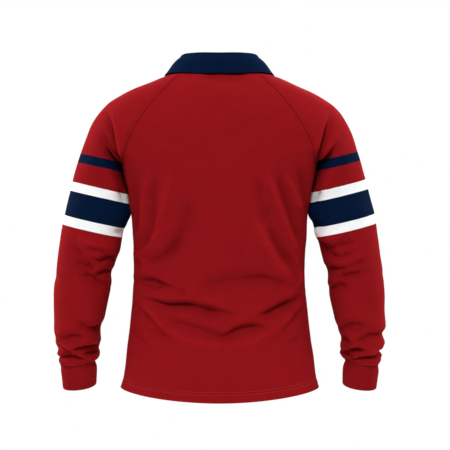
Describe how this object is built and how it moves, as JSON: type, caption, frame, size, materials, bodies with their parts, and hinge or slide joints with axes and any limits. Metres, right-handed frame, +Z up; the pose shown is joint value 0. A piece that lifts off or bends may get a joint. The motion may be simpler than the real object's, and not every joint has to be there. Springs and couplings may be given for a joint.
{
  "type": "rugby shirt",
  "caption": "Long-sleeved rugby shirt, hollow as worn, with raglan sleeves, a folded collar, a short buttoned placket, plain cuffs and a curved hem.",
  "frame": {"origin": "the middle of the base of the neck, between the shoulders that carry the shirt", "axes": "+Z up, the shirt's front faces -Y, its left sleeve lies at +X"},
  "size_m": [0.7336, 0.2667, 0.7468],
  "materials": {
    "red_jersey": "matt heavy cotton jersey, deep red; the sleeves carry knitted-in navy and white stripes",
    "red_cuff": "matt close cotton knit, deep red",
    "navy_twill": "matt cotton twill, dark navy",
    "white_rubber": "smooth moulded rubber, off-white"
  },
  "bodies": {
    "root": {"back": "red_jersey", "front": "red_jersey", "sleeve_left": "red_jersey", "sleeve_right": "red_jersey", "cuff_left": "red_cuff", "cuff_right": "red_cuff", "collar": "navy_twill", "placket_upper": "navy_twill", "placket_under": "navy_twill", "button_1": "white_rubber", "button_2": "white_rubber", "button_3": "white_rubber"}
  },
  "joints": []
}
